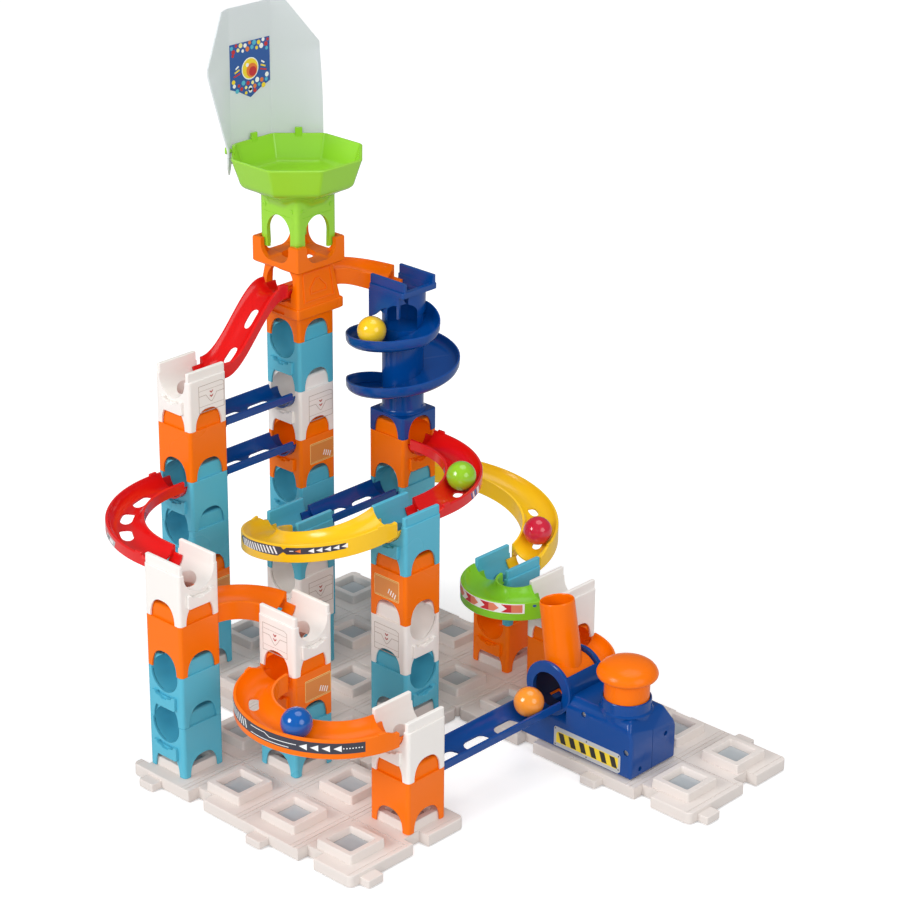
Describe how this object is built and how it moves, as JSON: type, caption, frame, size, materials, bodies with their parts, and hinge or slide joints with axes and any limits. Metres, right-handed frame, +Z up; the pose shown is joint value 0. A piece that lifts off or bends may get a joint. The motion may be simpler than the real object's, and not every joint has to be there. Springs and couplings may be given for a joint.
{
  "type": "marble run",
  "caption": "Toy marble run: towers of stacked blocks on a snap-together base, joined by curved tracks, rails, a spiral, a funnel with a backboard and a push launcher.",
  "frame": {"origin": "on the underside of the base, at the grid corner in the middle of the tower field", "axes": "+Z up, +X along the row of towers towards the launcher, +Y towards the back row with the funnel"},
  "size_m": [0.4324, 0.3594, 0.445],
  "materials": {
    "turquoise_plastic": "gloss",
    "orange_plastic": "gloss",
    "warm_white_plastic": "satin",
    "blue_plastic": "gloss",
    "red_plastic": "gloss",
    "yellow_plastic": "gloss",
    "green_plastic": "gloss",
    "frosted_board": "translucent satin",
    "spring_steel": "plated",
    "blue_marble": "gloss",
    "green_marble": "gloss",
    "red_marble": "gloss",
    "yellow_marble": "gloss",
    "orange_marble": "gloss"
  },
  "bodies": {
    "run": {"backboard": "frosted_board", "base_plates_front": "warm_white_plastic", "base_plates_rear": "warm_white_plastic", "castle_block": "orange_plastic", "funnel": "green_plastic", "launcher_body": "blue_plastic", "launcher_spring": "spring_steel", "rail_launcher": "blue_plastic", "rail_lower": "blue_plastic", "rail_middle": "blue_plastic", "rail_upper": "blue_plastic", "spiral_tower": "blue_plastic", "tower10_block_3": "orange_plastic", "tower10_blocks_0_2": "turquoise_plastic", "tower1_block_lower": "turquoise_plastic", "tower1_block_upper": "orange_plastic", "tower1_channel": "warm_white_plastic", "tower2_block_lower": "turquoise_plastic", "tower2_block_upper": "orange_plastic", "tower2_channel": "warm_white_plastic", "tower3_block_0": "turquoise_plastic", "tower3_block_1": "orange_plastic", "tower3_block_4": "orange_plastic", "tower3_blocks_2_3": "turquoise_plastic", "tower3_channel": "warm_white_plastic", "tower4_block": "orange_plastic", "tower4_channel": "warm_white_plastic", "tower5_block_3": "orange_plastic", "tower5_block_4": "warm_white_plastic", "tower5_block_5": "turquoise_plastic", "tower5_blocks_0_2": "turquoise_plastic", "tower6_block_0": "turquoise_plastic", "tower6_block_1": "warm_white_plastic", "tower6_block_2": "orange_plastic", "tower6_channel": "turquoise_plastic", "tower7_block_0": "turquoise_plastic", "tower7_block_1": "warm_white_plastic", "tower7_channel": "turquoise_plastic", "tower8_block": "orange_plastic", "tower8_channel": "turquoise_plastic", "tower9_block": "orange_plastic", "tower9_channel": "warm_white_plastic", "track_green": "green_plastic", "track_orange_feed": "orange_plastic", "track_orange_front": "orange_plastic", "track_orange_left": "orange_plastic", "track_orange_top": "orange_plastic", "track_red_left": "red_plastic", "track_red_ramp": "red_plastic", "track_red_right": "red_plastic", "track_yellow_left": "yellow_plastic", "track_yellow_right": "yellow_plastic"},
    "push_button": {"launcher_button": "orange_plastic"},
    "lift_rocker": {"launcher_rocker": "warm_white_plastic"},
    "launch_tube": {"launcher_tube": "orange_plastic"},
    "blue_marble": {"marble_blue": "blue_marble"},
    "green_marble": {"marble_green": "green_marble"},
    "red_marble": {"marble_red": "red_marble"},
    "yellow_marble": {"marble_yellow": "yellow_marble"},
    "orange_marble": {"marble_orange": "orange_marble"}
  },
  "joints": [
    {"name": "button_press", "type": "slide", "parent": "run", "child": "push_button", "axis": [0, 0, -1], "range_m": [0, 0.008], "stiffness_N_per_m": 150, "deforming": ["launcher_spring"]},
    {"name": "rocker_swing", "type": "hinge", "parent": "run", "child": "lift_rocker", "pos_m": [0.14925, 0.072, 0.0268], "axis": [0, 1, 0], "range_deg": [0, 22]},
    {"name": "tube_tilt", "type": "hinge", "parent": "run", "child": "launch_tube", "pos_m": [0.125, 0.073, 0.0485], "axis": [0, 1, 0], "range_deg": [-8, 6]},
    {"name": "blue_marble_roll", "type": "hinge", "parent": "run", "child": "blue_marble", "pos_m": [0.075, -0.0917, 0.0857], "axis": [0, 0, 1], "range_deg": [-18, 18]},
    {"name": "green_marble_roll", "type": "hinge", "parent": "run", "child": "green_marble", "pos_m": [-0.0483, 0.0517, 0.1551], "axis": [0, 0, 1], "range_deg": [-24, 24]},
    {"name": "red_marble_roll", "type": "hinge", "parent": "run", "child": "red_marble", "pos_m": [-0.025, 0.1417, 0.09253], "axis": [0.096, -0.2156, 0.9718], "range_deg": [-8, 15]},
    {"name": "yellow_marble_roll", "type": "hinge", "parent": "run", "child": "yellow_marble", "pos_m": [-0.075, 0.125, 0.2309], "axis": [-0.196, 0.0275, 0.9802], "range_deg": [-8, 15]},
    {"name": "orange_marble_roll", "type": "slide", "parent": "run", "child": "orange_marble", "axis": [0, -1, 0], "range_m": [0, 0.08]}
  ],
  "couplings": [
    {"joint": "rocker_swing", "follows": "button_press", "rad_per_m": 48}
  ]
}
